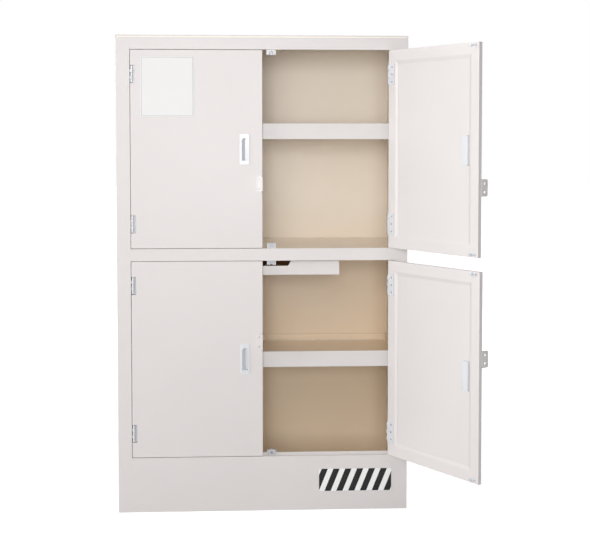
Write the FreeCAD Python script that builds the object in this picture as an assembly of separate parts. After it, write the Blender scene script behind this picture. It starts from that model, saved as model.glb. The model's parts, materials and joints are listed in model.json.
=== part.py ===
import FreeCAD, Part
import math
import os

# Two-compartment storage cabinet welded from plastic sheet. It stands on the floor, centred on the
# origin, with its front towards -Y. Its right-hand doors are modelled standing open. Sizes in mm.

# Driving sizes of the carcase
cabinet_width = 1095.0
cabinet_depth = 600.0
cabinet_height = 1800.0
sheet = 8.0
stile_width = 52.0
top_rail_height = 53.0
middle_rail_height = 46.0
plinth_height = 208.0
deck_drop = 9.5
edge_chamfer = 1.2

# Driving sizes of the doors
door_gap = 1.5
door_sheet = 10.0
border_width = 52.0
border_bevel = 12.0
border_thickness = 5.0
border_thin_edge = 1.0
upper_open_angle = 122.0
lower_open_angle = 123.0

# Hinges: a moulded leaf on the door, one on the frame, and a pin
pin_inset = 7.5
pin_depth = 2.5
pin_radius = 2.0
pin_clearance = 0.05
pin_head_radius = 3.2
pin_head_height = 1.5
knuckle_radius = 4.5
knuckle_pitch = 12.5
knuckle_gap = 0.5
hinge_offset = 91.0
leaf_thickness = 3.5
leaf_arm_width = 6.0
door_leaf_height = 80.0
door_leaf_reach = 28.0
door_leaf_margin = 5.0
leaf_corner = 4.0
leaf_boss_length = 11.0
leaf_boss_height = 3.0
frame_leaf_height = 58.0
frame_leaf_reach = 28.0
cutout_room = 7.5
cutout_end_room = 2.25

# Flush pull: a moulded cup let into each door
pull_edge_distance = 67.0
pull_width = 35.0
pull_height = 114.0
pull_flange = 2.0
pull_corner_radius = 6.0
pull_rim_chamfer = 0.8
cup_width = 29.0
cup_height = 104.0
cup_corner_radius = 4.0
cup_depth = 19.0
cup_wall = 2.5
cup_hole_clearance = 0.3
scoop_width = 21.0
scoop_height = 84.0
scoop_shallow_depth = 4.0
scoop_floor_width = 8.0

# Padlock brackets: moulded angles at the meeting edges
hasp_thickness = 5.0
hasp_height = 60.0
hasp_reach = 28.5
hasp_leg = 20.0
hasp_corner_radius = 6.0
hasp_leg_corner = 3.0
hasp_bend_radius = 2.0
hasp_heel_chamfer = 1.0
hasp_hole_radius = 5.0
hasp_hole_spacing = 29.0
hasp_hole_reach = 15.0
upper_hasp_rise = 242.0
lower_hasp_drop = 306.0

# Catches: moulded jaws on the frame, and a headed striker on each door
catch_offset = 32.0
catch_drop = 12.0
catch_width = 34.0
catch_height = 12.0
catch_length = 22.0
catch_front = 20.0
catch_plate = 4.0
catch_flange_height = 21.0
catch_foot_length = 16.0
jaw_slot_width = 14.0
jaw_slot_depth = 16.0
jaw_bead_radius = 3.2
jaw_bead_setback = 2.5
jaw_relief_width = 1.5
jaw_thickness = 4.0
jaw_relief_depth = 14.0
striker_plate = 2.5
striker_height = 13.0
striker_corner = 2.0
striker_stem_width = 3.0
striker_reach = 13.0
striker_head_radius = 2.7
striker_blade_height = 8.0

# Sill strip behind the plinth, which the lower doors close against
sill_rise = 11.0
sill_height = 51.0
sill_thickness = 5.5
sill_door_clearance = 1.5
sill_foot_drop = 3.0

# Shelf trays on angle ledges
upper_shelf_rise = 421.0
lower_shelf_rise = 337.0
shelf_lip_height = 60.0
shelf_upstand = 25.0
shelf_setback = 24.0
shelf_side_clearance = 1.0
shelf_back_clearance = 2.0
shelf_corner = 10.0
ledge_leg = 25.0
ledge_thickness = 5.0
ledge_end_room = 12.0

# Shallow drawer hung under the middle deck
drawer_front_width = 580.0
drawer_front_height = 54.0
drawer_front_sheet = 8.0
drawer_setback = 27.0
drawer_rail_clearance = 3.5
drawer_depth = 400.0
drawer_box_width = 510.0
drawer_box_sheet = 5.0
drawer_box_drop = 6.0
drawer_flange_reach = 21.4
notch_width = 212.0
notch_depth = 19.0
notch_slope = 10.0
notch_radius = 4.0
runner_sheet = 6.0
runner_clearance = 0.3
runner_side_clearance = 0.6
runner_grip = 15.0
runner_flange = 20.0
runner_tail = 12.0

# How far every cutter runs past the face that it cuts
overrun = 1.0

# Sides of the many-sided posts that stand for small cylinders
barrel_sides = 12
pin_sides = 8

# Places worked out from the driving sizes
half_width = cabinet_width / 2
front = -cabinet_depth / 2
back = cabinet_depth / 2
frame_back = front + sheet
back_panel_face = back - sheet
inside = half_width - sheet
opening_edge = half_width - stile_width
top_panel_underside = cabinet_height - sheet
upper_opening_top = cabinet_height - top_rail_height
opening_height = (upper_opening_top - middle_rail_height - plinth_height) / 2
lower_opening_bottom = plinth_height
lower_opening_top = plinth_height + opening_height
upper_opening_bottom = lower_opening_top + middle_rail_height
deck_top = upper_opening_bottom - deck_drop
deck_underside = deck_top - sheet
door_left = door_gap - opening_edge
door_right = -door_gap
door_back = front + door_sheet
door_inner_face = door_back + border_thickness
pin_x = pin_inset - opening_edge
pin_y = front + pin_depth
hinge_height = 5 * knuckle_pitch
knuckle_height = knuckle_pitch - knuckle_gap
cutout_edge = pin_x + knuckle_radius + cutout_room
upper_door = (upper_opening_bottom + door_gap, upper_opening_top - door_gap)
lower_door = (lower_opening_bottom + door_gap, lower_opening_top - door_gap)
striker_face = door_inner_face + striker_plate
catch_face = front + catch_front

parts = {}


# Shape helpers


def vector(x, y, z):
    return FreeCAD.Vector(x, y, z)


def box(x0, x1, y0, y1, z0, z1):
    return Part.makeBox(x1 - x0, y1 - y0, z1 - z0, vector(x0, y0, z0))


def prism(corners, run):
    """A solid whose end face joins the corners and which runs along the given vector."""
    return Part.Face(Part.makePolygon(corners + corners[:1])).extrude(run)


def prism_along_x(outline, x0, x1):
    return prism([vector(x0, y, z) for y, z in outline], vector(x1 - x0, 0, 0))


def prism_along_y(outline, y0, y1):
    return prism([vector(x, y0, z) for x, z in outline], vector(0, y1 - y0, 0))


def prism_along_z(outline, z0, z1):
    return prism([vector(x, y, z0) for x, y in outline], vector(0, 0, z1 - z0))


def post(radius, sides, x, y, z0, z1):
    """An upright many-sided post, whose corners lie on the radius."""
    turn = 2 * math.pi / sides
    outline = [
        (x + radius * math.cos(place * turn), y + radius * math.sin(place * turn))
        for place in range(sides)
    ]
    return prism_along_z(outline, z0, z1)


def straight_edges(shape, along, keep):
    """The straight edges that run along a direction and whose middle passes the keep test."""
    chosen = []
    for edge in shape.Edges:
        if edge.Curve.TypeId != "Part::GeomLine":
            continue
        if edge.Curve.Direction.cross(along).Length < 1e-6 and keep(edge.CenterOfMass):
            chosen.append(edge)
    return chosen


def round_edges(shape, radius, along, keep):
    return shape.makeFillet(radius, straight_edges(shape, along, keep))


def chamfer_edges(shape, size, along, keep):
    return shape.makeChamfer(size, straight_edges(shape, along, keep))


def near(value, target):
    return abs(value - target) < 1e-4


along_x = vector(1, 0, 0)
along_y = vector(0, 1, 0)
along_z = vector(0, 0, 1)


def fused(first, *others):
    return first.multiFuse(list(others)).removeSplitter()


def save(name, shape):
    parts[name] = shape


# Carcase: welded sheets, all butted face to face


def side_panel(side):
    inner, outer = sorted((side * inside, side * half_width))
    return box(inner, outer, frame_back, back, 0, top_panel_underside)


def stile(side):
    inner, outer = sorted((side * opening_edge, side * half_width))
    upright = box(inner, outer, front, frame_back, 0, top_panel_underside)
    outer_corner = side * half_width
    return chamfer_edges(
        upright, edge_chamfer, along_z, lambda p: near(p.x, outer_corner) and near(p.y, front)
    )


def top_panel():
    lid = box(-half_width, half_width, front, back, top_panel_underside, cabinet_height)
    rim = [edge for edge in lid.Edges if near(edge.BoundBox.ZMin, cabinet_height)]
    return lid.makeChamfer(edge_chamfer, rim)


def rail(bottom, top):
    return box(-opening_edge, opening_edge, front, frame_back, bottom, top)


def floor_panel(underside):
    return box(-inside, inside, frame_back, back_panel_face, underside, underside + sheet)


def back_panel():
    return box(-inside, inside, back_panel_face, back, 0, top_panel_underside)


def sill_strip():
    """A stepped strip welded behind the plinth: its upper edge stands behind the lower doors."""
    step = door_inner_face + sill_door_clearance
    face = step + sill_thickness
    top = lower_opening_bottom + sill_rise
    shoulder = lower_opening_bottom - sill_foot_drop
    bottom = top - sill_height
    outline = [
        (frame_back, bottom),
        (face, bottom),
        (face, top),
        (step, top),
        (step, shoulder),
        (frame_back, shoulder),
    ]
    strip = prism_along_x(outline, -opening_edge, opening_edge)
    half_notch = catch_width / 2 + overrun
    for x in (-catch_offset, catch_offset):
        notch = box(
            x - half_notch,
            x + half_notch,
            step - overrun,
            face + overrun,
            lower_opening_bottom,
            top + overrun,
        )
        strip = strip.cut(notch)
    return strip, face


save("left_side_panel", side_panel(-1))
save("right_side_panel", side_panel(1))
save("left_stile", stile(-1))
save("right_stile", stile(1))
save("top_panel", top_panel())
save("back_panel", back_panel())
save("bottom_panel", floor_panel(0))
save("middle_deck", floor_panel(deck_underside))
save("top_rail", rail(upper_opening_top, top_panel_underside))
save("middle_rail", rail(lower_opening_top, upper_opening_bottom))
save("plinth_panel", rail(0, plinth_height))
sill, sill_back = sill_strip()
save("sill_strip", sill)


# Shelf trays and the ledges that they lie on


def tray_plan(half, y0, y1, z0, z1):
    """The tray seen from above, with its rear corners cut to clear the welds in the carcase."""
    rear = y1 - shelf_corner
    side = half - shelf_corner
    outline = [(-half, y0), (half, y0), (half, rear), (side, y1), (-side, y1), (-half, rear)]
    return prism_along_z(outline, z0, z1)


def shelf_tray(underside):
    """A tray with a tall front lip that also stiffens it, and a low upstand on its other sides."""
    half = inside - shelf_side_clearance
    y0 = front + shelf_setback
    y1 = back_panel_face - shelf_back_clearance
    rim = underside + sheet + shelf_upstand
    solid = box(-half, half, y0, y1, underside, rim)
    hollow = box(
        sheet - half, half - sheet, y0 + sheet, y1 - sheet, underside + sheet, rim + overrun
    )
    lip = box(-half, half, y0, y0 + sheet, underside, underside + shelf_lip_height)
    tray = fused(solid.cut(hollow), lip)
    lip_top = underside + shelf_lip_height
    tray = chamfer_edges(
        tray, edge_chamfer, along_x, lambda p: near(p.y, y0) or near(p.z, lip_top)
    )
    return tray.common(tray_plan(half, y0, y1, underside, lip_top))


def angle_outline(wall, top, towards):
    """An angle section: one leg flat on the wall, the other level under the tray."""
    tip = wall + towards * ledge_leg
    leg = wall + towards * ledge_thickness
    return [
        (wall, top - ledge_leg),
        (leg, top - ledge_leg),
        (leg, top - ledge_thickness),
        (tip, top - ledge_thickness),
        (tip, top),
        (wall, top),
    ]


def ledges(top):
    y0 = front + shelf_setback + ledge_end_room
    y1 = back_panel_face - ledge_leg - ledge_end_room
    sides = [prism_along_y(angle_outline(side * inside, top, -side), y0, y1) for side in (-1, 1)]
    end = inside - ledge_leg - ledge_end_room
    rear = prism_along_x(angle_outline(back_panel_face, top, -1), -end, end)
    return sides + [rear]


upper_shelf_underside = deck_top + upper_shelf_rise
lower_shelf_underside = lower_opening_bottom + lower_shelf_rise
save("upper_shelf_tray", shelf_tray(upper_shelf_underside))
save("lower_shelf_tray", shelf_tray(lower_shelf_underside))
save(
    "shelf_ledges",
    Part.makeCompound(ledges(upper_shelf_underside) + ledges(lower_shelf_underside)),
)


# Hinges, modelled on the left and mirrored for the right


def hinge_levels(door):
    return (door[0] + hinge_offset, door[1] - hinge_offset)


def knuckle(level, place):
    """One knuckle of the barrel, counted from the middle one, with its bore for the pin."""
    middle = level + place * knuckle_pitch
    low = middle - knuckle_height / 2
    return post(knuckle_radius, barrel_sides, pin_x, pin_y, low, low + knuckle_height)


def pin_bore(level):
    """A bore whose flat sides clear the pin at every angle of the door."""
    reach = hinge_height / 2 + overrun
    radius = (pin_radius + pin_clearance) / math.cos(math.pi / pin_sides)
    return post(radius, pin_sides, pin_x, pin_y, level - reach, level + reach)


def arm(level, place, x0, x1, y0, y1):
    low = level + place * knuckle_pitch - knuckle_height / 2
    return box(x0, x1, y0, y1, low, low + knuckle_height)


def door_leaf(level):
    """The leaf screwed to the door's inner face, with three arms that reach forward to the barrel."""
    face = door_inner_face + leaf_thickness
    edge = pin_x - door_leaf_margin
    tip = pin_x + door_leaf_reach
    half = door_leaf_height / 2
    plate = box(edge, tip, door_inner_face, face, level - half, level + half)
    plate = chamfer_edges(plate, leaf_corner, along_y, lambda p: near(p.x, tip))
    pieces = []
    for place in (-2, 0, 2):
        arm_edge = pin_x - leaf_arm_width / 2
        arm_end = door_inner_face + leaf_thickness / 2
        pieces.append(arm(level, place, arm_edge, arm_edge + leaf_arm_width, pin_y, arm_end))
        pieces.append(knuckle(level, place))
        boss = arm(level, place, edge, edge + leaf_boss_length, face, face + leaf_boss_height)
        boss_top = face + leaf_boss_height
        pieces.append(
            chamfer_edges(boss, leaf_boss_height / 2, along_z, lambda p: near(p.y, boss_top))
        )
    return fused(plate, *pieces).cut(pin_bore(level))


def frame_leaf(level):
    """The leaf screwed behind the stile, with two arms that pass through the door's cut-out."""
    face = frame_back + leaf_thickness
    edge = -opening_edge
    tip = edge - frame_leaf_reach
    half = frame_leaf_height / 2
    plate = box(tip, edge, frame_back, face, level - half, level + half)
    plate = chamfer_edges(plate, leaf_corner, along_y, lambda p: near(p.x, tip))
    pieces = []
    for place in (-1, 1):
        arm_edge = pin_x + leaf_arm_width / 2
        pieces.append(arm(level, place, edge - overrun, arm_edge, frame_back, face))
        pieces.append(arm(level, place, arm_edge - leaf_arm_width, arm_edge, pin_y, face))
        pieces.append(knuckle(level, place))
    return fused(plate, *pieces).cut(pin_bore(level))


def hinge_pin(level):
    half = hinge_height / 2
    shaft = post(pin_radius, pin_sides, pin_x, pin_y, level - half, level + half)
    head_top = level + half + pin_head_height
    head = post(pin_head_radius, pin_sides, pin_x, pin_y, level + half, head_top)
    return fused(shaft, head)


def mirrored(shape):
    return shape.mirror(vector(0, 0, 0), along_x)


def cutout(level):
    half = hinge_height / 2 + cutout_end_room
    return box(
        door_left - overrun,
        cutout_edge,
        front - overrun,
        door_inner_face + overrun,
        level - half,
        level + half,
    )


all_levels = hinge_levels(lower_door) + hinge_levels(upper_door)
left_leaves = [frame_leaf(level) for level in all_levels]
left_pins = [hinge_pin(level) for level in all_levels]
save(
    "hinge_frame_leaves",
    Part.makeCompound(left_leaves + [mirrored(leaf) for leaf in left_leaves]),
)
save("hinge_pins", Part.makeCompound(left_pins + [mirrored(pin) for pin in left_pins]))


# Doors, modelled closed on the left, mirrored for the right and swung open there


def pull_centre(door):
    return door_right - pull_edge_distance, (door[0] + door[1]) / 2


def rounded_block(x, z, width, height, y0, y1, radius):
    block = box(x - width / 2, x + width / 2, y0, y1, z - height / 2, z + height / 2)
    return round_edges(block, radius, along_y, lambda p: True)


def door_panel(door):
    bottom, top = door
    panel = box(door_left, door_right, front, door_back, bottom, top)
    panel = panel.makeChamfer(
        edge_chamfer, [edge for edge in panel.Edges if near(edge.BoundBox.YMax, front)]
    )
    x, z = pull_centre(door)
    half_hole = cup_width / 2 + cup_hole_clearance
    half_rise = cup_height / 2 + cup_hole_clearance
    hole = box(
        x - half_hole,
        x + half_hole,
        front - overrun,
        door_back + overrun,
        z - half_rise,
        z + half_rise,
    )
    return panel.cut([hole] + [cutout(level) for level in hinge_levels(door)])


def border_section():
    """Distance in from the door's edge, and height above the panel, of a bevelled border strip."""
    return [
        (0, 0),
        (border_width, 0),
        (border_width, border_thin_edge),
        (border_width - border_bevel, border_thickness),
        (0, border_thickness),
    ]


def level_strip(door, edge, inwards):
    """A top or bottom strip, with its ends cut to 45 degrees."""
    outline = [(door_back + up, edge + inwards * across) for across, up in border_section()]
    strip = prism_along_x(outline, door_left, door_right)
    inner = edge + inwards * border_width
    mitre = [
        (door_left, edge),
        (door_right, edge),
        (door_right - border_width, inner),
        (door_left + border_width, inner),
    ]
    return strip.common(prism_along_y(mitre, door_back - overrun, door_inner_face + overrun))


def upright_strip(door, edge, inwards):
    """A hinge-side or free-side strip, with its ends cut to 45 degrees."""
    bottom, top = door
    outline = [(edge + inwards * across, door_back + up) for across, up in border_section()]
    strip = prism_along_z(outline, bottom, top)
    inner = edge + inwards * border_width
    mitre = [
        (edge, bottom),
        (edge, top),
        (inner, top - border_width),
        (inner, bottom + border_width),
    ]
    return strip.common(prism_along_y(mitre, door_back - overrun, door_inner_face + overrun))


def scoop(x, z):
    """The finger hollow: arched at its top, and deepest on the side of the door's free edge."""
    left, right = x - scoop_width / 2, x + scoop_width / 2
    bottom = z - scoop_height / 2
    spring = z + scoop_height / 2 - scoop_width / 2
    mouth = front - pull_flange
    corners = [
        vector(left, mouth - overrun, spring),
        vector(left, mouth - overrun, bottom),
        vector(right, mouth - overrun, bottom),
        vector(right, mouth - overrun, spring),
    ]
    crown = vector(x, mouth - overrun, spring + scoop_width / 2)
    sides = [Part.makeLine(a, b) for a, b in zip(corners, corners[1:])]
    arch = Part.Arc(corners[3], crown, corners[0]).toShape()
    outline = Part.Face(Part.Wire(sides + [arch]))
    well = outline.extrude(vector(0, cup_depth + pull_flange + overrun, 0))
    floor = front + cup_depth - cup_wall
    shallow = mouth + scoop_shallow_depth
    wedge = [
        (left - overrun, mouth - overrun),
        (right + overrun, mouth - overrun),
        (right + overrun, floor),
        (right - scoop_floor_width, floor),
        (left, shallow),
        (left - overrun, shallow),
    ]
    low, high = bottom - overrun, spring + scoop_width
    return well.common(prism_along_z(wedge, low, high))


def pull_cup(door):
    """The moulded pull: a thin flange on the door's face and a closed cup behind it."""
    x, z = pull_centre(door)
    mouth = front - pull_flange
    flange = rounded_block(x, z, pull_width, pull_height, mouth, front, pull_corner_radius)
    rim = [edge for edge in flange.Edges if near(edge.BoundBox.YMax, mouth)]
    flange = flange.makeChamfer(pull_rim_chamfer, rim)
    cup = rounded_block(x, z, cup_width, cup_height, front, front + cup_depth, cup_corner_radius)
    return fused(flange, cup).cut(scoop(x, z))


def hasp_bracket(level):
    """A moulded angle on the door's face: its standing leg has two holes for a padlock."""
    half = hasp_height / 2
    outer = door_right - hasp_thickness
    face = front - hasp_thickness
    tip = front - hasp_reach
    root = door_right - hasp_leg
    low, high = level - half, level + half
    leg = box(root, door_right, face, front, low, high)
    standing = box(outer, door_right, tip, front, low, high)
    angle = fused(leg, standing)
    angle = round_edges(
        angle, hasp_bend_radius, along_z, lambda p: near(p.x, outer) and near(p.y, face)
    )
    angle = chamfer_edges(
        angle,
        hasp_heel_chamfer,
        along_z,
        lambda p: near(p.x, door_right) and near(p.y, front),
    )
    angle = round_edges(angle, hasp_corner_radius, along_x, lambda p: near(p.y, tip))
    angle = chamfer_edges(angle, hasp_leg_corner, along_y, lambda p: near(p.x, root))
    for side in (-1, 1):
        start = vector(
            outer - overrun, front - hasp_hole_reach, level + side * hasp_hole_spacing / 2
        )
        drill = Part.makeCylinder(
            hasp_hole_radius, hasp_thickness + 2 * overrun, start, along_x
        )
        angle = angle.cut(drill)
    return angle


def striker(level):
    """A plate on the door's inner face with a round-headed blade that the jaws grip."""
    x = -catch_offset
    half = catch_width / 2
    low, high = level - striker_height / 2, level + striker_height / 2
    plate = box(x - half, x + half, door_inner_face, striker_face, low, high)
    plate = chamfer_edges(plate, striker_corner, along_y, lambda p: True)
    stem_half = striker_stem_width / 2
    head_y = striker_face + striker_reach - striker_head_radius
    blade_low = level - striker_blade_height / 2
    blade_high = level + striker_blade_height / 2
    stem = box(x - stem_half, x + stem_half, striker_face, head_y, blade_low, blade_high)
    head = post(striker_head_radius, barrel_sides, x, head_y, blade_low, blade_high)
    return fused(plate, stem, head)


def catch_levels(door):
    return (door[0] - door_gap + catch_drop, door[1] + door_gap - catch_drop)


def door_pieces(door, hasp_level):
    bottom, top = door
    levels = hinge_levels(door)
    hinge_side = upright_strip(door, door_left, 1).cut([cutout(level) for level in levels])
    return {
        "panel": door_panel(door),
        "top_border": level_strip(door, top, -1),
        "bottom_border": level_strip(door, bottom, 1),
        "hinge_border": hinge_side,
        "free_border": upright_strip(door, door_right, -1),
        "pull": pull_cup(door),
        "hinge_leaves": Part.makeCompound([door_leaf(level) for level in levels]),
        "hasp_bracket": hasp_bracket(hasp_level),
        "strikers": Part.makeCompound([striker(level) for level in catch_levels(door)]),
    }


def opened(shape, angle):
    """A right-hand piece swung open about its hinge pins."""
    return mirrored(shape).rotated(vector(-pin_x, pin_y, 0), along_z, angle)


upper_hasp_level = upper_door[0] + upper_hasp_rise
lower_hasp_level = lower_door[1] - lower_hasp_drop
for row, door, level, angle in (
    ("upper", upper_door, upper_hasp_level, upper_open_angle),
    ("lower", lower_door, lower_hasp_level, lower_open_angle),
):
    for piece, shape in door_pieces(door, level).items():
        save(f"{row}_left_door_{piece}", shape)
        save(f"{row}_right_door_{piece}", opened(shape, angle))


# Catches on the frame


def catch_body(side_outline, level, x):
    """A moulded catch: the outline gives its side view, and a beaded mouth is cut in its front."""
    half = catch_width / 2
    outline = [(y, level + up) for y, up in side_outline]
    body = prism_along_x(outline, x - half, x + half)
    low = level - catch_height / 2 - overrun
    high = level + catch_height / 2 + overrun
    slot_half = jaw_slot_width / 2
    mouth = catch_face - overrun
    cuts = [box(x - slot_half, x + slot_half, mouth, catch_face + jaw_slot_depth, low, high)]
    relief = slot_half + jaw_thickness
    for side in (-1, 1):
        near_edge, far_edge = sorted((side * relief, side * (relief + jaw_relief_width)))
        far = catch_face + jaw_relief_depth
        cuts.append(box(x + near_edge, x + far_edge, mouth, far, low, high))
    body = body.cut(cuts)
    bead_y = catch_face + jaw_bead_setback
    bead_low = level - catch_height / 2
    bead_high = bead_low + catch_height
    beads = [
        post(jaw_bead_radius, barrel_sides, x + side * slot_half, bead_y, bead_low, bead_high)
        for side in (-1, 1)
    ]
    return fused(body, *beads)


def rail_catch_outline():
    """A catch hung from a plate behind the rail above it."""
    half = catch_height / 2
    rear = catch_face + catch_length
    under = catch_drop + overrun
    over = under + catch_plate
    top = over + catch_flange_height
    return [
        (catch_face, -half),
        (rear, -half),
        (rear, over),
        (frame_back + catch_plate, over),
        (frame_back + catch_plate, top),
        (frame_back, top),
        (frame_back, under),
        (catch_face, under),
    ]


def deck_catch_outline(level):
    """A catch that stands on the deck with a foot behind it."""
    half = catch_height / 2
    rear = catch_face + catch_length
    bottom = deck_top - level
    return [
        (catch_face, half),
        (catch_face, bottom),
        (rear + catch_foot_length, bottom),
        (rear + catch_foot_length, bottom + catch_plate),
        (rear, bottom + catch_plate),
        (rear, half),
    ]


def sill_catch_outline():
    """A catch in the notch of the sill strip, held by a flange down the strip's back."""
    half = catch_height / 2
    rear = catch_face + catch_length
    return [
        (catch_face, half),
        (catch_face, -half),
        (sill_back, -half),
        (sill_back, -half - catch_flange_height),
        (sill_back + catch_plate, -half - catch_flange_height),
        (sill_back + catch_plate, -half),
        (rear, -half),
        (rear, half),
    ]


lower_bottom_catch, lower_top_catch = catch_levels(lower_door)
upper_bottom_catch, upper_top_catch = catch_levels(upper_door)
for name, outline, levels in (
    ("rail_catches", rail_catch_outline(), (lower_top_catch, upper_top_catch)),
    ("deck_catches", deck_catch_outline(upper_bottom_catch), (upper_bottom_catch,)),
    ("sill_catches", sill_catch_outline(), (lower_bottom_catch,)),
):
    pairs = [
        catch_body(outline, level, side * catch_offset) for level in levels for side in (-1, 1)
    ]
    save(name, Part.makeCompound(pairs))


# Drawer and its runners

drawer_top = lower_opening_top - drawer_rail_clearance
drawer_bottom = drawer_top - drawer_front_height
drawer_face = front + drawer_setback
drawer_box_front = drawer_face + drawer_front_sheet
box_bottom = drawer_bottom + drawer_box_drop
flange_top = drawer_top - runner_sheet - runner_clearance
flange_underside = flange_top - drawer_box_sheet
half_box = drawer_box_width / 2
flange_edge = half_box + drawer_flange_reach


def drawer_front():
    """The front board, with a wide finger notch in its top edge."""
    half = drawer_front_width / 2
    mouth = notch_width / 2
    floor = drawer_top - notch_depth
    outline = [
        (-half, drawer_bottom),
        (half, drawer_bottom),
        (half, drawer_top),
        (mouth, drawer_top),
        (mouth - notch_slope, floor),
        (notch_slope - mouth, floor),
        (-mouth, drawer_top),
        (-half, drawer_top),
    ]
    board = prism_along_y(outline, drawer_face, drawer_box_front)
    board = round_edges(board, notch_radius, along_y, lambda p: abs(p.x) < mouth + overrun)
    return chamfer_edges(
        board, edge_chamfer, along_x, lambda p: near(p.y, drawer_face) and near(p.z, drawer_bottom)
    )


def drawer_box():
    """A tray with outward flanges that ride in the runners; the front board closes its front."""
    y0, y1 = drawer_box_front, drawer_box_front + drawer_depth
    solid = box(-half_box, half_box, y0, y1, box_bottom, flange_top)
    hollow = box(
        drawer_box_sheet - half_box,
        half_box - drawer_box_sheet,
        y0 - overrun,
        y1 - drawer_box_sheet,
        box_bottom + drawer_box_sheet,
        flange_top + overrun,
    )
    flanges = [
        box(-flange_edge, -half_box, y0, y1, flange_underside, flange_top),
        box(half_box, flange_edge, y0, y1, flange_underside, flange_top),
    ]
    return fused(solid.cut(hollow), *flanges)


def drawer_runner(side):
    """A channel that holds the drawer's flange, hung from the deck by its web, closed at its back."""
    wall = flange_edge + runner_side_clearance
    outer = wall + runner_sheet
    lips = wall - runner_grip
    ledge_top = flange_underside - runner_clearance
    ledge_bottom = ledge_top - runner_sheet
    lip_bottom = flange_top + runner_clearance
    lip_top = lip_bottom + runner_sheet
    outline = [
        (lips, ledge_bottom),
        (outer, ledge_bottom),
        (outer, deck_underside - runner_sheet),
        (outer + runner_flange, deck_underside - runner_sheet),
        (outer + runner_flange, deck_underside),
        (wall, deck_underside),
        (wall, lip_top),
        (lips, lip_top),
        (lips, lip_bottom),
        (wall, lip_bottom),
        (wall, ledge_top),
        (lips, ledge_top),
    ]
    y0 = drawer_box_front + runner_clearance
    y1 = drawer_box_front + drawer_depth + runner_tail
    channel = prism_along_y(outline, y0, y1)
    end_plate = box(lips, wall + overrun, y1 - runner_sheet, y1, ledge_top - overrun, lip_bottom + overrun)
    runner = fused(channel, end_plate)
    return runner if side > 0 else mirrored(runner)


save("drawer_front", drawer_front())
save("drawer_box", drawer_box())
save("left_drawer_runner", drawer_runner(-1))
save("right_drawer_runner", drawer_runner(1))


# Each piece goes to its own file

os.makedirs("parts", exist_ok=True)
for name, shape in sorted(parts.items()):
    if not shape.isValid() or not shape.Solids:
        raise ValueError(f"{name} is not a valid solid")
    shape.exportStep(f"parts/{name}.step")
print(f"{len(parts)} pieces, {sum(len(shape.Solids) for shape in parts.values())} solids")
print(f"doors stand open at {upper_open_angle} and {lower_open_angle} degrees")
print(f"hinge pins at x {-pin_x:.2f}, y {pin_y:.2f}; opening height {opening_height:.2f}")
print(f"door reach from pin {math.hypot(door_right - pin_x, pin_depth):.1f}")
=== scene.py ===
import json
import math

import bmesh
import bpy
from mathutils import Matrix, Vector


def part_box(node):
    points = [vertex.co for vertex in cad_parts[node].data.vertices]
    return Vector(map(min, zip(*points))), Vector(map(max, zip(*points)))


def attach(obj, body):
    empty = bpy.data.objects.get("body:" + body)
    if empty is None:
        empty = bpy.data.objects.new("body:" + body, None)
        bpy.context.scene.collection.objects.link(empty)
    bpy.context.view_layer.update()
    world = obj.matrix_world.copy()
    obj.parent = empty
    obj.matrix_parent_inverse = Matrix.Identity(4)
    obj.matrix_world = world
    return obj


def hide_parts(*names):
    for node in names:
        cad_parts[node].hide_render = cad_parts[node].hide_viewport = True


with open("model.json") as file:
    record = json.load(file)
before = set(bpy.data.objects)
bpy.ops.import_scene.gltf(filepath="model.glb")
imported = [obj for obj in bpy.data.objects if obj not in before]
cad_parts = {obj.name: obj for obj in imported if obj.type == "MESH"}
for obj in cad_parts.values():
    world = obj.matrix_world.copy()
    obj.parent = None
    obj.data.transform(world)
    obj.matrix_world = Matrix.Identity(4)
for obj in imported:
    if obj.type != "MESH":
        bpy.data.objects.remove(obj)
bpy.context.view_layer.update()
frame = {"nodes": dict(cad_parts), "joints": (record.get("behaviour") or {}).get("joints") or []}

# Welded carcase
# The two sides, back, top, floor and middle deck are 8 mm sheets of white polypropylene, sawn to
# size and hot-gas welded edge to edge. The sheet is pressed with a fine matt grain. Its inner faces
# are painted lighter and cream, a painted bounce light; low down they get a painted shade, darker
# and yellower. It stays white outside, and is paler where its cut edges are rubbed.
millimetre = 0.001
sheet_thickness = 8.0 * millimetre
carcase_nodes = (
    "left_side_panel",
    "right_side_panel",
    "back_panel",
    "top_panel",
    "bottom_panel",
    "middle_deck",
)
# The inner faces are painted lighter and cream: a painted bounce light on the same white sheet that is
# left white outside.
carcase_bounce_cream = (0.955, 0.862, 0.745, 1.0)
rubbed_bounce_cream = (0.955, 0.900, 0.820, 1.0)
outside_tint = (0.665, 0.702, 0.800, 1.0)
# The next two tints and the heights below them paint a shade: darker and yellower low down, with a
# noise that wanders its edge.
high_unshaded_tint = (1.000, 1.000, 1.000, 1.0)
low_painted_shade_tint = (0.985, 0.910, 0.790, 1.0)
smooth_floor_share = 0.4
level_floor = (0.7, 0.9)
painted_shade_top = 1.15
painted_shade_full = 0.55
shade_edge_scale = 2.6
shade_edge_reach = 0.12
cloud_scale = 2.2
grain_scale = 620.0
grain_strength = 0.12
grain_depth = 0.4 * millimetre
ripple_scale = 14.0
ripple_strength = 0.10
ripple_height = 4.0 * millimetre
drag_scale = 26.0
drag_stretch = (9.0, 9.0, 0.5)
drag_mark_share = 0.25
drag_mark_reach = (0.62, 0.8)
drag_polish = -0.10
drag_polish_reach = (0.6, 0.8)
rubbed_shares = (0.2, 0.9)
edge_turn = (0.75, 0.99)
dull_share = 0.965
sheet_edge = 1.2 * millimetre
sheet_roughness = (0.42, 0.52)
sheet_ior = 1.49


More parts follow.
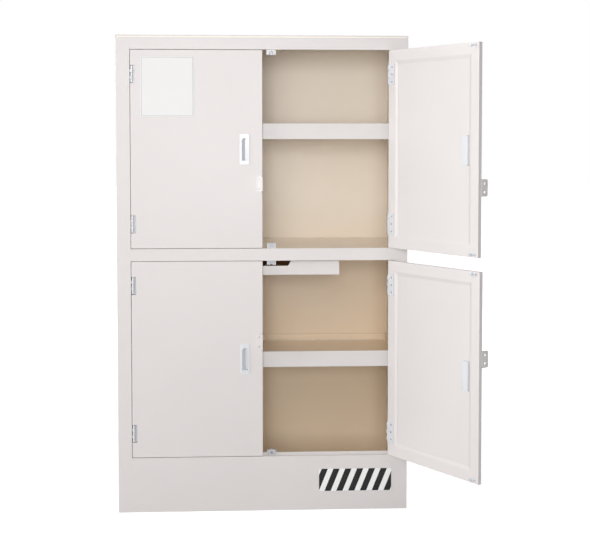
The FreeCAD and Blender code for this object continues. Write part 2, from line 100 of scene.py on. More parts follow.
def add(tree, kind, inputs=(), **settings):
    """A node with its settings made and its inputs given a value or joined to another's output."""
    made = tree.nodes.new(kind)
    for name, value in settings.items():
        setattr(made, name, value)
    for socket, value in dict(inputs).items():
        if isinstance(value, bpy.types.NodeSocket):
            tree.links.new(value, made.inputs[socket])
        else:
            made.inputs[socket].default_value = value
    return made


def result_of(tree, operation, *figures):
    """What a sum or comparison makes of one or two figures."""
    made = add(tree, "ShaderNodeMath", dict(enumerate(figures)), operation=operation)
    return made.outputs["Value"]


def noise(tree, place, scale, detail, stretch=(1.0, 1.0, 1.0)):
    """A cloudy pattern on the piece's own coordinates, drawn out along an axis if asked."""
    drawn = add(tree, "ShaderNodeMapping", {"Vector": place, "Scale": stretch})
    cloud = add(
        tree,
        "ShaderNodeTexNoise",
        {"Vector": drawn.outputs["Vector"], "Scale": scale, "Detail": detail},
    )
    return cloud.outputs["Fac"]


def spread(tree, value, low, high, start=0.3, end=0.7):
    """Spreads a pattern between two figures."""
    ranged = add(
        tree,
        "ShaderNodeMapRange",
        {"Value": value, "From Min": start, "From Max": end, "To Min": low, "To Max": high},
    )
    return ranged.outputs["Result"]


def picked(sockets, identifier):
    """The socket with this identifier, where several share one name."""
    return next(entry for entry in sockets if entry.identifier == identifier)


def mixed(tree, share, first, second):
    """One colour laid over another by a share."""
    mix = add(tree, "ShaderNodeMix", {"Factor": share}, data_type="RGBA")
    for socket, value in (("A_Color", first), ("B_Color", second)):
        if isinstance(value, bpy.types.NodeSocket):
            tree.links.new(value, picked(mix.inputs, socket))
        else:
            picked(mix.inputs, socket).default_value = value
    return picked(mix.outputs, "Result_Color")


def edge_share(tree, radius):
    """The rounded normal of the piece's edges, and a share that rises from 0 to 1 on them."""
    soft = add(tree, "ShaderNodeBevel", {"Radius": radius}, samples=4)
    true = add(tree, "ShaderNodeNewGeometry")
    facing = add(
        tree,
        "ShaderNodeVectorMath",
        {0: soft.outputs["Normal"], 1: true.outputs["Normal"]},
        operation="DOT_PRODUCT",
    )
    return soft.outputs["Normal"], spread(tree, facing.outputs["Value"], 1.0, 0.0, *edge_turn)


def bumped(tree, height, strength, depth, normal):
    """A normal tilted by a pattern of a given depth."""
    made = add(
        tree,
        "ShaderNodeBump",
        {"Strength": strength, "Distance": depth, "Height": height, "Normal": normal},
    )
    return made.outputs["Normal"]


def opened(material):
    """A material's tree, its shader and the coordinates of the piece that wears it."""
    tree = material.node_tree
    place = add(tree, "ShaderNodeTexCoord").outputs["Object"]
    return tree, tree.nodes["Principled BSDF"], place


def new_finish(name):
    """A bare material with a shader in it."""
    material = bpy.data.materials.new(name)
    material.use_nodes = True
    return material


def pressed_sheet(name, colour, rubbed):
    """Matt polypropylene sheet: clouded colour, fine pressed grain, faint drag marks, rubbed edges."""
    material = new_finish(name)
    tree, shader, place = opened(material)
    clouds = noise(tree, place, cloud_scale, detail=5.0)
    grain = noise(tree, place, grain_scale, detail=3.0)
    ripple = noise(tree, place, ripple_scale, detail=2.0)
    drag = noise(tree, place, drag_scale, detail=4.0, stretch=drag_stretch)
    rounded, edges = edge_share(tree, sheet_edge)
    duller = tuple(dull_share * part for part in colour[:3]) + (1.0,)
    base = mixed(tree, spread(tree, clouds, 0.0, 1.0), duller, colour)
    marks = mixed(tree, spread(tree, drag, 0.0, drag_mark_share, *drag_mark_reach), base, duller)
    worn = result_of(tree, "MULTIPLY", edges, spread(tree, ripple, *rubbed_shares))
    tree.links.new(mixed(tree, worn, marks, rubbed), shader.inputs["Base Color"])
    clouded = spread(tree, clouds, *sheet_roughness)
    polish = spread(tree, drag, 0.0, drag_polish, *drag_polish_reach)
    tree.links.new(result_of(tree, "ADD", clouded, polish), shader.inputs["Roughness"])
    fine = bumped(tree, grain, grain_strength, grain_depth, rounded)
    wavy = bumped(tree, ripple, ripple_strength, ripple_height, fine)
    tree.links.new(wavy, shader.inputs["Normal"])
    shader.inputs["IOR"].default_value = sheet_ior
    return material


def finish_node(name, material):
    """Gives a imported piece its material."""
    mesh = frame["nodes"][name].data
    mesh.materials.clear()
    mesh.materials.append(material)


def outer_faces(tree, apart):
    """1 on the carcase's outer faces, which stay white, and 0 on its inner ones, which get the painted
    bounce light and shade, told by where they lie.
    """
    half_thick = sheet_thickness / 2
    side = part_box("right_side_panel")[1].x - half_thick
    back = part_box("back_panel")[1].y - half_thick
    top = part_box("top_panel")[1].z - half_thick
    across = result_of(tree, "ABSOLUTE", apart["X"])
    past_side = result_of(tree, "GREATER_THAN", across, side)
    past_back = result_of(tree, "GREATER_THAN", apart["Y"], back)
    past_top = result_of(tree, "GREATER_THAN", apart["Z"], top)
    return result_of(tree, "MAXIMUM", result_of(tree, "MAXIMUM", past_side, past_back), past_top)


def shaded_cream_sheet(name):
    """Sheet painted cream with bounce light inside, with a painted shade low down that darkens and
    yellows it, smoother where it faces up, white on its outer faces.
    """
    material = pressed_sheet(name, carcase_bounce_cream, rubbed_bounce_cream)
    tree, shader, place = opened(material)
    apart = add(tree, "ShaderNodeSeparateXYZ", {"Vector": place}).outputs
    # Painted shade: darker and yellower below a height that wanders with a noise.
    shade_edge_wobble = noise(tree, place, shade_edge_scale, detail=5.0)
    height = result_of(tree, "ADD", apart["Z"], spread(tree, shade_edge_wobble, -shade_edge_reach, shade_edge_reach))
    painted_low_shade = spread(tree, height, 1.0, 0.0, painted_shade_full, painted_shade_top)
    shaded_by_height = mixed(tree, painted_low_shade, high_unshaded_tint, low_painted_shade_tint)
    # Inner faces get the painted bounce cream and low shade; outer faces stay white.
    tint = mixed(tree, outer_faces(tree, apart), shaded_by_height, outside_tint)
    ground = shader.inputs["Base Color"].links[0].from_socket
    tinted = add(tree, "ShaderNodeVectorMath", {0: ground, 1: tint}, operation="MULTIPLY")
    tree.links.new(tinted.outputs["Vector"], shader.inputs["Base Color"])
    facing = add(tree, "ShaderNodeNewGeometry").outputs["Normal"]
    up = add(tree, "ShaderNodeSeparateXYZ", {"Vector": facing}).outputs["Z"]
    smoothed = spread(tree, up, 1.0, smooth_floor_share, *level_floor)
    rough = shader.inputs["Roughness"].links[0].from_socket
    tree.links.new(result_of(tree, "MULTIPLY", rough, smoothed), shader.inputs["Roughness"])
    return material


carcase_sheet = shaded_cream_sheet("carcase_sheet")
for name in carcase_nodes:
    finish_node(name, carcase_sheet)

# Front frame
# Two full-height stiles, two rails and the plinth panel, butted and welded flush. They are the
# same sheet as the sides but whiter, with its good face outwards, scraped smooth over the welds.
front_nodes = ("left_stile", "right_stile", "top_rail", "middle_rail", "plinth_panel")
front_white = (0.690, 0.655, 0.645, 1.0)
rubbed_white = (0.770, 0.740, 0.730, 1.0)

front_sheet = pressed_sheet("front_sheet", front_white, rubbed_white)
for name in front_nodes:
    finish_node(name, front_sheet)
finish_node("sill_strip", front_sheet)

# Shelf trays
# Each tray is welded from the same sheet, painted cream inside with bounce light and a low shade
# like the carcase, with a low rim that keeps a spill in and a tall front lip left white, as the
# sheet is outside. It lies loose on angle ledges welded to the sides and back.
rows = ("upper", "lower")
lip_white = (0.620, 0.592, 0.580, 1.0)
lip_cloud_scale = 3.0


def tray_sheet(row):
    """The sheet painted cream with bounce light and low shade, left white on the front lip."""
    material = shaded_cream_sheet(f"{row}_tray_sheet")
    tree, shader, place = opened(material)
    apart = add(tree, "ShaderNodeSeparateXYZ", {"Vector": place})
    lip_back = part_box(f"{row}_shelf_tray")[0].y + sheet_thickness
    on_lip = result_of(tree, "LESS_THAN", apart.outputs["Y"], lip_back)
    ground = shader.inputs["Base Color"].links[0].from_socket
    clouds = noise(tree, place, lip_cloud_scale, detail=4.0)
    white = mixed(tree, spread(tree, clouds, 0.0, 1.0), lip_white, front_white)
    tree.links.new(mixed(tree, on_lip, ground, white), shader.inputs["Base Color"])
    return material


for row in rows:
    finish_node(f"{row}_shelf_tray", tray_sheet(row))
finish_node("shelf_ledges", carcase_sheet)

# Drawer
# A shallow tray hung under the middle deck by its side flanges, which ride in two channels. Its
# front board has a wide notch for the fingers that also passes under the catches.
# The drawer's box is painted brown: a painted shade for the dark hollow seen through the notch.
drawer_shade_brown = (0.780, 0.480, 0.240, 1.0)

finish_node("drawer_front", front_sheet)
finish_node("left_drawer_runner", carcase_sheet)
finish_node("right_drawer_runner", carcase_sheet)
drawer_sheet = pressed_sheet("drawer_sheet", drawer_shade_brown, drawer_shade_brown)
finish_node("drawer_box", drawer_sheet)

# Doors
# A 10 mm face sheet with four mitred and bevelled strips welded round its inner face, which keep
# it flat. The strips are scraped flush at their corners.
door_sides = ("left", "right")
doors = [f"{row}_{side}_door" for row in rows for side in door_sides]

for door in doors:
    for piece in ("panel", "top_border", "bottom_border", "hinge_border", "free_border"):
        finish_node(f"{door}_{piece}", front_sheet)

# Flush pulls, catches and strikers
# These are injection moulded in a bluish white plastic with a slight gloss. Their surface shows
# faint flow marks and tiny pits, and their edges are polished by use.
moulded_white = (0.680, 0.695, 0.725, 1.0)
polished_white = (0.760, 0.770, 0.790, 1.0)
flow_scale = 40.0
flow_stretch = (1.0, 1.0, 0.3)
pit_scale = 900.0
pit_strength = 0.08
pit_depth = 0.3 * millimetre
moulded_dull_share = 0.95
moulded_edge = 0.6 * millimetre
moulded_roughness = (0.26, 0.36)
moulded_ior = 1.52


def moulding(name, colour, polished):
    """Glossy moulded plastic with flow marks and a soft edge."""
    material = new_finish(name)
    tree, shader, place = opened(material)
    flow = noise(tree, place, flow_scale, detail=4.0, stretch=flow_stretch)
    pits = noise(tree, place, pit_scale, detail=2.0)
    rounded, edges = edge_share(tree, moulded_edge)
    duller = tuple(moulded_dull_share * part for part in colour[:3]) + (1.0,)
    base = mixed(tree, spread(tree, flow, 0.0, 1.0), duller, colour)
    tree.links.new(mixed(tree, edges, base, polished), shader.inputs["Base Color"])
    tree.links.new(spread(tree, flow, *moulded_roughness), shader.inputs["Roughness"])
    tree.links.new(bumped(tree, pits, pit_strength, pit_depth, rounded), shader.inputs["Normal"])
    shader.inputs["IOR"].default_value = moulded_ior
    return material


moulded_plastic = moulding("moulded_plastic", moulded_white, polished_white)
for name in ("rail_catches", "deck_catches", "sill_catches"):
    finish_node(name, moulded_plastic)
for door in doors:
    finish_node(f"{door}_pull", moulded_plastic)
    finish_node(f"{door}_strikers", moulded_plastic)

# Padlock brackets
# A thick angle moulded in the white of the doors, with two holes for a padlock in the leg that
# stands out at the meeting edge. Its other leg is screwed to the door's face.
bracket_white = (0.650, 0.620, 0.610, 1.0)

bracket_plastic = moulding("bracket_plastic", bracket_white, rubbed_white)
for door in doors:
    finish_node(f"{door}_hasp_bracket", bracket_plastic)

# Hinges
# Moulded in the same bluish white plastic as the pulls. The door's leaf covers the door's cut-out
# and has three bosses with arms that reach round to the barrel, the frame's leaf has two arms
# between them, and a pin with a domed head joins the five knuckles.
knuckle_radius = 4.5 * millimetre
knuckle_bore = 2.2 * millimetre
pin_radius = 2.0 * millimetre
knuckle_pitch = 12.5 * millimetre
knuckle_gap = 0.5 * millimetre
knuckle_count = 5
leaf_thickness = 3.5 * millimetre
leaf_arm = 6.0 * millimetre
leaf_corner = 4.0 * millimetre
door_leaf_height = 80.0 * millimetre
door_leaf_reach = 28.0 * millimetre
door_leaf_margin = 5.0 * millimetre
boss_length = 11.0 * millimetre
boss_height = 3.0 * millimetre
frame_leaf_height = 58.0 * millimetre
frame_leaf_reach = 28.0 * millimetre
pin_head_radius = 3.2 * millimetre
pin_head_height = 1.5 * millimetre
soft_edge = 0.5 * millimetre
soft_edge_steps = 2
soft_edge_angle = 40.0
knuckle_sides = 28
corner_steps = 5

hinge_joints = {joint["child"]: joint for joint in frame["joints"] if joint["type"] == "hinge"}
pin_x, pin_y = hinge_joints["upper_left_door"]["pos_m"][:2]
front_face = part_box("left_stile")[0].y
stile_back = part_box("left_stile")[1].y
stile_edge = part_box("left_stile")[1].x
border_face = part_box("upper_left_door_free_border")[1].y


def hinge_levels(door):
    """Heights of the middles of a door's two hinges."""
    low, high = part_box(f"{door}_hinge_leaves")
    half = door_leaf_height / 2
    return low.z + half, high.z - half


def on_frame(side, corner):
    """A point measured on the frame's left-hand side, mirrored if it belongs on the right."""
    x, y, z = corner
    return Vector((x if side == "left" else -x, y, z))


def on_door(door, corner):
    """A point measured on a closed left-hand door, where it lies on this door as it stands."""
    joint = hinge_joints[door]
    if "left" in door:
        return Vector(corner)
    pin = Vector((joint["pos_m"][0], joint["pos_m"][1], 0.0))
    swing = Matrix.Rotation(math.radians(-joint["range_deg"][0]), 3, "Z")
    return pin + swing @ (on_frame("right", corner) - pin)


def block(shell, low, high):
    """A plain block between two corners, added to a growing mesh."""
    for corner in bmesh.ops.create_cube(shell, size=1.0)["verts"]:
        corner.co = [high[axis] if corner.co[axis] > 0 else low[axis] for axis in range(3)]


def plate(shell, outline, front_y, back_y):
    """A plate whose outline is given in X and Z and whose thickness runs along Y."""
    near = [shell.verts.new((x, front_y, z)) for x, z in outline]
    far = [shell.verts.new((x, back_y, z)) for x, z in outline]
    shell.faces.new(near)
    shell.faces.new(list(reversed(far)))
    for first in range(len(outline)):
        second = (first + 1) % len(outline)
        shell.faces.new((near[first], near[second], far[second], far[first]))


def rounded_outline(low, high, radii):
    """A rectangle's outline with each corner rounded, from the lower left corner round."""
    turns = ((-1, -1), (1, -1), (1, 1), (-1, 1))
    outline = []
    for quarter, ((side, rise), radius) in enumerate(zip(turns, radii)):
        x = (high[0] if side > 0 else low[0]) - side * radius
        z = (high[1] if rise > 0 else low[1]) - rise * radius
        steps = corner_steps if radius else 0
        for step in range(steps + 1):
            share = step / steps if steps else 0
            angle = math.radians(180.0 + 90.0 * (quarter + share))
            outline.append((x + radius * math.cos(angle), z + radius * math.sin(angle)))
    return outline


def ring_of_points(shell, centre, radius, level):
    """Points evenly round a circle."""
    points = []
    for side in range(knuckle_sides):
        angle = 2.0 * math.pi * side / knuckle_sides
        x = centre[0] + radius * math.cos(angle)
        y = centre[1] + radius * math.sin(angle)
        points.append(shell.verts.new((x, y, level)))
    return points


def tube(shell, centre, inner, outer, low, high):
    """A knuckle of the barrel: a short upright tube."""
    corners = ((outer, low), (outer, high), (inner, high), (inner, low))
    rings = [ring_of_points(shell, centre, radius, level) for radius, level in corners]
    for ring, after in zip(rings, rings[1:] + rings[:1]):
        for first in range(knuckle_sides):
            second = (first + 1) % knuckle_sides
            shell.faces.new((ring[first], ring[second], after[second], after[first]))


def rod(shell, centre, radius, low, high):
    """A short upright rod."""
    made = bmesh.ops.create_cone(
        shell,
        cap_ends=True,
        segments=knuckle_sides,
        radius1=radius,
        radius2=radius,
        depth=high - low,
    )
    middle = Vector((centre[0], centre[1], (low + high) / 2))
    bmesh.ops.translate(shell, verts=made["verts"], vec=middle)


def finished(name, shell, body, material, soften):
    """Turns a growing mesh into a piece that rides on a body."""
    bmesh.ops.recalc_face_normals(shell, faces=shell.faces)
    mesh = bpy.data.meshes.new(name)
    shell.to_mesh(mesh)
    shell.free()
    mesh.materials.append(material)
    piece = bpy.data.objects.new(name, mesh)
    bpy.context.scene.collection.objects.link(piece)
    if soften:
        bevel = piece.modifiers.new("softened", "BEVEL")
        bevel.width = soften
        bevel.segments = soft_edge_steps
        bevel.limit_method = "ANGLE"
        bevel.angle_limit = math.radians(soft_edge_angle)
    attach(piece, body)
    return piece


def moved(shell, place):
    """Moves every point of a growing mesh with the given rule."""
    for corner in shell.verts:
        corner.co = place(corner.co)


def knuckle_span(level, step):
    """Lower and upper end of one knuckle, counted from the middle one."""
    middle = level + step * knuckle_pitch
    half = (knuckle_pitch - knuckle_gap) / 2
    return middle - half, middle + half


def door_leaf(shell, level):
    """The door's leaf, with three bosses whose arms carry the outer and the middle knuckles."""
    face = border_face + leaf_thickness
    edge = pin_x - door_leaf_margin
    tip = pin_x + door_leaf_reach
    half = door_leaf_height / 2
    corners = (0.0, leaf_corner, leaf_corner, 0.0)
    outline = rounded_outline((edge, level - half), (tip, level + half), corners)
    plate(shell, outline, border_face, face)
    for step in (-2, 0, 2):
        low, high = knuckle_span(level, step)
        arm_x = pin_x - leaf_arm / 2
        block(shell, (arm_x, pin_y + knuckle_bore, low), (arm_x + leaf_arm, face, high))
        block(shell, (edge, face - soft_edge, low), (edge + boss_length, face + boss_height, high))
        tube(shell, (pin_x, pin_y), knuckle_bore, knuckle_radius, low, high)


def frame_leaf(shell, level):
    """The frame's leaf, with two arms that carry the knuckles between."""
    face = stile_back + leaf_thickness
    tip = stile_edge - frame_leaf_reach
    half = frame_leaf_height / 2
    corners = (leaf_corner, 0.0, 0.0, leaf_corner)
    outline = rounded_outline((tip, level - half), (stile_edge, level + half), corners)
    plate(shell, outline, stile_back, face)
    for step in (-1, 1):
        low, high = knuckle_span(level, step)
        arm_x = pin_x + leaf_arm / 2
        block(shell, (stile_edge - soft_edge, stile_back, low), (arm_x, face, high))
        block(shell, (arm_x - leaf_arm, pin_y + knuckle_bore, low), (arm_x, face, high))
        tube(shell, (pin_x, pin_y), knuckle_bore, knuckle_radius, low, high)


def hinge_pin(shell, level):
    """The pin through all the knuckles, with its head on top."""
    half = knuckle_count * knuckle_pitch / 2
    top = level + half
    rod(shell, (pin_x, pin_y), pin_radius, level - half, top)
    rod(shell, (pin_x, pin_y), pin_head_radius, top, top + pin_head_height)


leaves = bmesh.new()
pins = bmesh.new()
for row in rows:
    for side in door_sides:
        for level in hinge_levels(f"{row}_{side}_door"):
            for shell, maker in ((leaves, frame_leaf), (pins, hinge_pin)):
                before = set(shell.verts)
                maker(shell, level)
                for corner in set(shell.verts) - before:
                    corner.co = on_frame(side, corner.co)
frame_leaves = finished(
    "frame_hinge_leaves", leaves, "cabinet", moulded_plastic, soft_edge
)
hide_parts("hinge_frame_leaves")
domed_pins = finished(
    "domed_hinge_pins", pins, "cabinet", moulded_plastic, soft_edge / 2
)
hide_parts("hinge_pins")
for door in doors:
    leaves = bmesh.new()
    for level in hinge_levels(door):
        door_leaf(leaves, level)
    moved(leaves, lambda corner: on_door(door, corner))
    door_leaves = finished(
        f"{door}_moulded_leaves", leaves, door, moulded_plastic, soft_edge
    )
    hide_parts(f"{door}_hinge_leaves")

# Screws
# Small pan-head screws with a cross recess hold the hinge leaves, catches, strikers and brackets.
# They are stainless steel, turned bright, and each stops at its own angle.
screw_steel = (0.360, 0.355, 0.350, 1.0)
bright_steel = (0.560, 0.555, 0.545, 1.0)
screw_radius = 3.4 * millimetre
hinge_screw_share = 1.0
bracket_screw_share = 0.88
small_screw_share = 0.80
screw_sides = 20
screw_seed = 7
streak_scale = 900.0
streak_stretch = (1.0, 1.0, 4.0)
streak_strength = 0.12
streak_depth = 0.1 * millimetre
smear_scale = 160.0
smear_roughness = 0.10
steel_dull_share = 0.84
steel_edge = 0.3 * millimetre
steel_roughness = (0.22, 0.34)


def turned_steel(name, colour, bright):
    """Turned stainless: fine streaks in the colour, the roughness and the surface."""
    material = new_finish(name)
    tree, shader, place = opened(material)
    streaks = noise(tree, place, streak_scale, detail=5.0, stretch=streak_stretch)
    smears = noise(tree, place, smear_scale, detail=3.0)
    rounded, edges = edge_share(tree, steel_edge)
    darker = tuple(steel_dull_share * part for part in colour[:3]) + (1.0,)
    base = mixed(tree, spread(tree, streaks, 0.0, 1.0), darker, colour)
    tree.links.new(mixed(tree, edges, base, bright), shader.inputs["Base Color"])
    turned = spread(tree, streaks, *steel_roughness)
    rough = result_of(tree, "ADD", turned, spread(tree, smears, 0.0, smear_roughness))
    tree.links.new(rough, shader.inputs["Roughness"])
    scored = bumped(tree, streaks, streak_strength, streak_depth, rounded)
    tree.links.new(scored, shader.inputs["Normal"])
    shader.inputs["Metallic"].default_value = 1.0
    return material


def making_tree(name, sizes):
    """A geometry tree with a mesh in and out, and a named input for each size and the finish."""
    tree = bpy.data.node_groups.new(name, "GeometryNodeTree")
    tree.interface.new_socket("Mesh", in_out="INPUT", socket_type="NodeSocketGeometry")
    tree.interface.new_socket("Mesh", in_out="OUTPUT", socket_type="NodeSocketGeometry")
    for size in sizes:
        tree.interface.new_socket(size, in_out="INPUT", socket_type="NodeSocketFloat")
    tree.interface.new_socket("Finish", in_out="INPUT", socket_type="NodeSocketMaterial")
    return tree, add(tree, "NodeGroupInput").outputs


def set_finish(tree, given, shape):
    """The end of each tree: instances made real, and the finish laid on."""
    real = add(tree, "GeometryNodeRealizeInstances", {"Geometry": shape})
    dressed = add(
        tree,
        "GeometryNodeSetMaterial",
        {"Geometry": real.outputs["Geometry"], "Material": given["Finish"]},
    )
    add(tree, "NodeGroupOutput", {"Mesh": dressed.outputs["Geometry"]})


def flat_cone(tree, bottom, top, height):
    """A cone with its tip cut off, standing on its wider end."""
    made = add(
        tree,
        "GeometryNodeMeshCone",
        {"Vertices": screw_sides, "Radius Bottom": bottom, "Radius Top": top, "Depth": height},
        fill_type="NGON",
    )
    return made.outputs["Mesh"]


def lifted(tree, shape, height):
    """A shape raised by a height."""
    made = add(
        tree,
        "GeometryNodeTransform",
        {"Geometry": shape, "Translation": (0.0, 0.0, height)},
    )
    return made.outputs["Geometry"]


def pan_head(tree):
    """A head of radius 1: a skirt and a crown, with a cross recess cut into them."""
    skirt_height = 0.26
    crown_height = 0.20
    crown_radius = 0.62
    shoulder_radius = 0.94
    recess_length = 1.1
    recess_width = 0.24
    recess_depth = 0.5
    skirt = flat_cone(tree, 1.0, shoulder_radius, skirt_height)
    crown = flat_cone(tree, shoulder_radius, crown_radius, crown_height)
    head = add(tree, "GeometryNodeMeshBoolean", operation="UNION", solver="EXACT")
    for part in (skirt, lifted(tree, crown, skirt_height)):
        tree.links.new(part, head.inputs["Mesh 2"])
    cut = add(tree, "GeometryNodeMeshBoolean", operation="DIFFERENCE", solver="EXACT")
    tree.links.new(head.outputs["Mesh"], cut.inputs["Mesh 1"])
    for x, y in ((recess_length, recess_width), (recess_width, recess_length)):
        bar = add(tree, "GeometryNodeMeshCube", {"Size": (x, y, recess_depth)}).outputs["Mesh"]
        tree.links.new(lifted(tree, bar, recess_depth), cut.inputs["Mesh 2"])
    return cut.outputs["Mesh"]


def screw_turns(tree):
    """Stands each screw in its stored direction and stops it at an angle of its own."""
    facing = add(
        tree, "GeometryNodeInputNamedAttribute", {"Name": "facing"}, data_type="FLOAT_VECTOR"
    )
    stood = add(
        tree,
        "FunctionNodeAlignRotationToVector",
        {"Vector": facing.outputs["Attribute"]},
        axis="Z",
    )
    stop = add(tree, "FunctionNodeRandomValue", {"Seed": screw_seed}, data_type="FLOAT")
    picked(stop.inputs, "Max_001").default_value = math.pi
    spin = add(
        tree,
        "FunctionNodeAxisAngleToRotation",
        {"Axis": (0.0, 0.0, 1.0), "Angle": picked(stop.outputs, "Value_001")},
    )
    turned = add(
        tree,
        "FunctionNodeRotateRotation",
        {"Rotation": stood.outputs["Rotation"], "Rotate By": spin.outputs["Rotation"]},
        rotation_space="LOCAL",
    )
    return turned.outputs["Rotation"]


def cross_screws():
    """Puts a screw head on each point, in its stored direction and size."""
    tree, given = making_tree("cross_screws", ("Head radius",))
    share = add(tree, "GeometryNodeInputNamedAttribute", {"Name": "share"}, data_type="FLOAT")
    size = result_of(tree, "MULTIPLY", share.outputs["Attribute"], given["Head radius"])
    driven = add(
        tree,
        "GeometryNodeInstanceOnPoints",
        {
            "Points": given["Mesh"],
            "Instance": pan_head(tree),
            "Rotation": screw_turns(tree),
            "Scale": size,
        },
    )
    set_finish(tree, given, driven.outputs["Instances"])
    return tree


def grown(name, tree, mesh, sizes, finish, body):
    """Runs a tree on a mesh and keeps what it makes as one plain mesh that rides on a body."""
    piece = bpy.data.objects.new(name, mesh)
    bpy.context.scene.collection.objects.link(piece)
    maker = piece.modifiers.new("maker", "NODES")
    maker.node_group = tree
    values = dict(sizes, Finish=finish)
    for entry in tree.interface.items_tree:
        if entry.in_out == "INPUT" and entry.name in values:
            maker[entry.identifier] = values[entry.name]
    bpy.context.view_layer.update()
    evaluated = piece.evaluated_get(bpy.context.evaluated_depsgraph_get())
    made = bpy.data.meshes.new_from_object(evaluated)
    piece.modifiers.clear()
    piece.data = made
    made.name = name
    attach(piece, body)
    return piece


def screw_points(name, places):
    """A mesh of loose points that each store a direction and a share of the full head's size."""
    mesh = bpy.data.meshes.new(name)
    mesh.from_pydata([point for point, facing, share in places], [], [])
    mesh.attributes.new("facing", "FLOAT_VECTOR", "POINT")
    mesh.attributes.new("share", "FLOAT", "POINT")
    for number, (point, facing, share) in enumerate(places):
        mesh.attributes["facing"].data[number].vector = facing
        mesh.attributes["share"].data[number].value = share
    return mesh


screw_tree = cross_screws()
screw_finish = turned_steel("turned_steel", screw_steel, bright_steel)
backwards = Vector((0.0, 1.0, 0.0))
forwards = Vector((0.0, -1.0, 0.0))
upwards = Vector((0.0, 0.0, 1.0))

leaf_screw_reach = 18.0 * millimetre
leaf_screw_rise = 28.0 * millimetre
frame_screw_reach = 16.0 * millimetre
frame_screw_rise = 18.0 * millimetre
bracket_thickness = 5.0 * millimetre
bracket_screw_setback = 14.5 * millimetre
bracket_screw_rise = 18.0 * millimetre
striker_plate = 2.5 * millimetre
striker_height = 13.0 * millimetre
striker_screw_spread = 12.5 * millimetre
catch_offset = 32.0 * millimetre
catch_screw_spread = 10.0 * millimetre
catch_plate = 4.0 * millimetre
catch_foot = 16.0 * millimetre
catch_flange = 21.0 * millimetre
rail_screw_rise = 27.5 * millimetre


def striker_levels(row):
    """Heights of the middles of the two strikers on a row's doors."""
    low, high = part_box(f"{row}_left_door_strikers")
    return low.z + striker_height / 2, high.z - striker_height / 2


def door_screws(row, door):
    """Places of a closed left-hand door's screws, carried to the door as it stands."""
    leaf_face = border_face + leaf_thickness
    places = []
    for level in hinge_levels(door):
        for rise in (-leaf_screw_rise, 0.0, leaf_screw_rise):
            place = (pin_x + leaf_screw_reach, leaf_face, level + rise)
            places.append((place, backwards, hinge_screw_share))
    for level in striker_levels(row):
        for spread_out in (-striker_screw_spread, striker_screw_spread):
            place = (-catch_offset + spread_out, border_face + striker_plate, level)
            places.append((place, backwards, small_screw_share))
    low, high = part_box(f"{row}_left_door_hasp_bracket")
    for rise in (-bracket_screw_rise, bracket_screw_rise):
        level = (low.z + high.z) / 2 + rise
        place = (-bracket_screw_setback, front_face - bracket_thickness, level)
        places.append((place, forwards, bracket_screw_share))
    return [
        (on_door(door, place), on_door(door, Vector(place) + facing) - on_door(door, place), share)
        for place, facing, share in places
    ]


def frame_screws():
    """Places of the screws in the frame's hinge leaves and in the six catches' plates."""
    places = []
    for row in rows:
        for level in hinge_levels(f"{row}_left_door"):
            for rise in (-frame_screw_rise, frame_screw_rise):
                face = stile_back + leaf_thickness
                place = (stile_edge - frame_screw_reach, face, level + rise)
                places.append((place, backwards, hinge_screw_share))
    deck_low, deck_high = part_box("deck_catches")
    sill_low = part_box("sill_catches")[0]
    sill_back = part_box("sill_strip")[1].y
    for spread_out in (-catch_screw_spread, catch_screw_spread):
        x = -catch_offset + spread_out
        for row in rows:
            level = striker_levels(row)[1] + rail_screw_rise
            place = (x, stile_back + catch_plate, level)
            places.append((place, backwards, small_screw_share))
        place = (x, deck_high.y - catch_foot / 2, deck_low.z + catch_plate)
        places.append((place, upwards, small_screw_share))
        place = (x, sill_back + catch_plate, sill_low.z + catch_flange / 2)
        places.append((place, backwards, small_screw_share))
    return [
        (on_frame(side, place), facing, share)
        for side in door_sides
        for place, facing, share in places
    ]


def screwed(name, places, body):
    """Makes one body's screws as one piece."""
    points = screw_points(name, places)
    sizes = {"Head radius": screw_radius}
    return grown(name, screw_tree, points, sizes, screw_finish, body)


screwed("frame_screws", frame_screws(), "cabinet")
for row in rows:
    for side in door_sides:
        door = f"{row}_{side}_door"
        screwed(f"{door}_screws", door_screws(row, door), door)

# Weld beads
# Every inner corner of the carcase, the trays and the drawer is closed with a bead of the same
# plastic laid by hand with hot gas, rounded on top and rippled where the rod was pushed forward.
bead_radius = 2.6 * millimetre
drawer_bead_radius = 1.6 * millimetre
ripple_pitch = 9.0 * millimetre
ripple_depth = 0.07
ripple_step = 0.25
wander_scale = 22.0
bead_widths = (0.86, 1.1)
bead_sides = 8
tray_rim_rise = 30.0 * millimetre
drawer_wall = 5.0 * millimetre
drawer_half_width = 255.0 * millimetre
# The beads share the cream of the carcase's inside, a painted bounce light.
bead_bounce_cream = (0.940, 0.860, 0.750, 1.0)
bead_shine = (0.940, 0.905, 0.850, 1.0)
drawer_bead_shade_brown = (0.820, 0.540, 0.300, 1.0)


